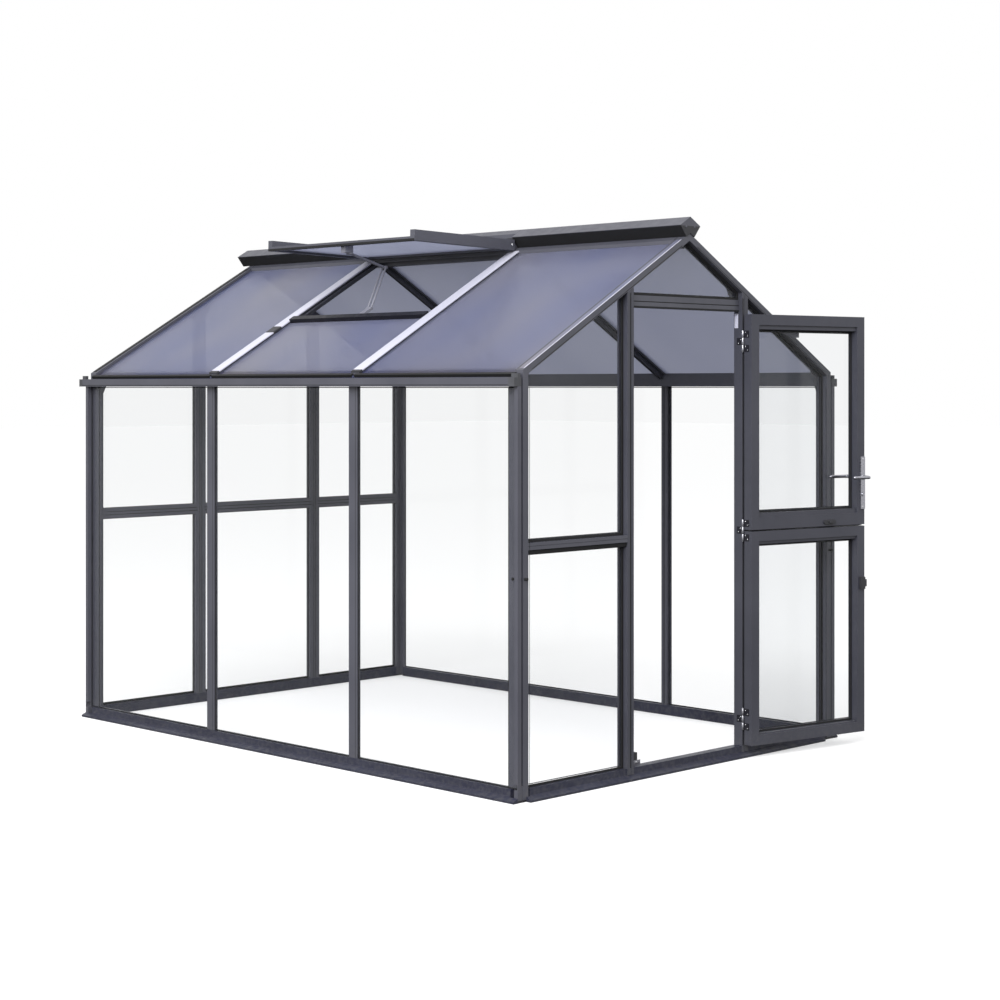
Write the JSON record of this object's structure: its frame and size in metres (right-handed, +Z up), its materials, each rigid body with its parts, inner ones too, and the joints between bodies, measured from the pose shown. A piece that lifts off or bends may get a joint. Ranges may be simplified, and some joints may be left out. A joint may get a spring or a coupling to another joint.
{
  "type": "greenhouse",
  "caption": "Gable-roofed aluminium greenhouse with clear glass walls, smoke-tinted roof sheets, a stable door standing open and a raised roof vent.",
  "frame": {"origin": "on the ground, on the underside of the front base rail, under the middle of the door gable's face", "axes": "+X runs across the building, to the right with the door gable seen from outside, the side the door is hinged on; +Y runs along the building from the door gable into it; +Z is up and the ground is at zero."},
  "size_m": [1.98, 3.0277, 2.1717],
  "materials": {
    "anthracite": "powder-coated anthracite grey, satin",
    "silver_trim": "mill-finish aluminium, brushed",
    "steel": "brushed, slightly soft sheen",
    "clear_glass": "clear float glass, polished",
    "smoke_sheet": "smoke-tinted translucent roof sheet, smooth",
    "black_plastic": "black, fine matt grain"
  },
  "bodies": {
    "building": {"base_rail_front": "anthracite", "base_rail_back": "anthracite", "base_rail_left": "anthracite", "base_rail_right": "anthracite", "corner_posts": "anthracite", "side_posts": "anthracite", "door_jamb_left": "anthracite", "door_jamb_right": "anthracite", "door_header": "anthracite", "back_posts": "anthracite", "front_mid_rails": "anthracite", "back_mid_rails": "anthracite", "front_rafters": "anthracite", "back_rafters": "anthracite", "corner_gussets": "anthracite", "eave_gutter_left": "anthracite", "eave_gutter_right": "anthracite", "ridge_beam": "anthracite", "ridge_cap": "anthracite", "roof_bars": "anthracite", "vent_sill": "anthracite", "vent_hinge_rail": "anthracite", "vent_sash": "anthracite", "vent_opener": "anthracite", "corner_feet": "black_plastic", "gutter_end_caps": "black_plastic", "roof_bar_caps": "silver_trim", "glass_left": "clear_glass", "glass_right": "clear_glass", "glass_front": "clear_glass", "glass_back": "clear_glass", "roof_sheets_left": "smoke_sheet", "roof_sheets_right": "smoke_sheet", "vent_sheet": "smoke_sheet", "jamb_hinge_parts": "silver_trim", "door_catch": "black_plastic"},
    "upper_leaf": {"upper_leaf_frame": "anthracite", "upper_leaf_glass": "clear_glass", "upper_leaf_hinges": "silver_trim", "handle_plates": "steel", "slide_bolt": "black_plastic"},
    "lower_leaf": {"lower_leaf_frame": "anthracite", "lower_leaf_glass": "clear_glass", "lower_leaf_hinges": "silver_trim", "rim_latch": "black_plastic"},
    "lever": {"lever_handle": "steel"}
  },
  "joints": [
    {"name": "upper_leaf_hinge", "type": "hinge", "parent": "building", "child": "upper_leaf", "pos_m": [0.33, -0.005, 1.3], "axis": [0, 0, 1], "range_deg": [-170, 0]},
    {"name": "lower_leaf_hinge", "type": "hinge", "parent": "building", "child": "lower_leaf", "pos_m": [0.33, -0.005, 0.5], "axis": [0, 0, 1], "range_deg": [-170, 0]},
    {"name": "lever_spindle", "type": "hinge", "parent": "upper_leaf", "child": "lever", "pos_m": [0.9418, -0.14029, 1.122], "axis": [-0.1736, -0.9848, 0], "range_deg": [0, 38], "stiffness_Nm_per_rad": 1.2, "springref_deg": -17.19}
  ]
}
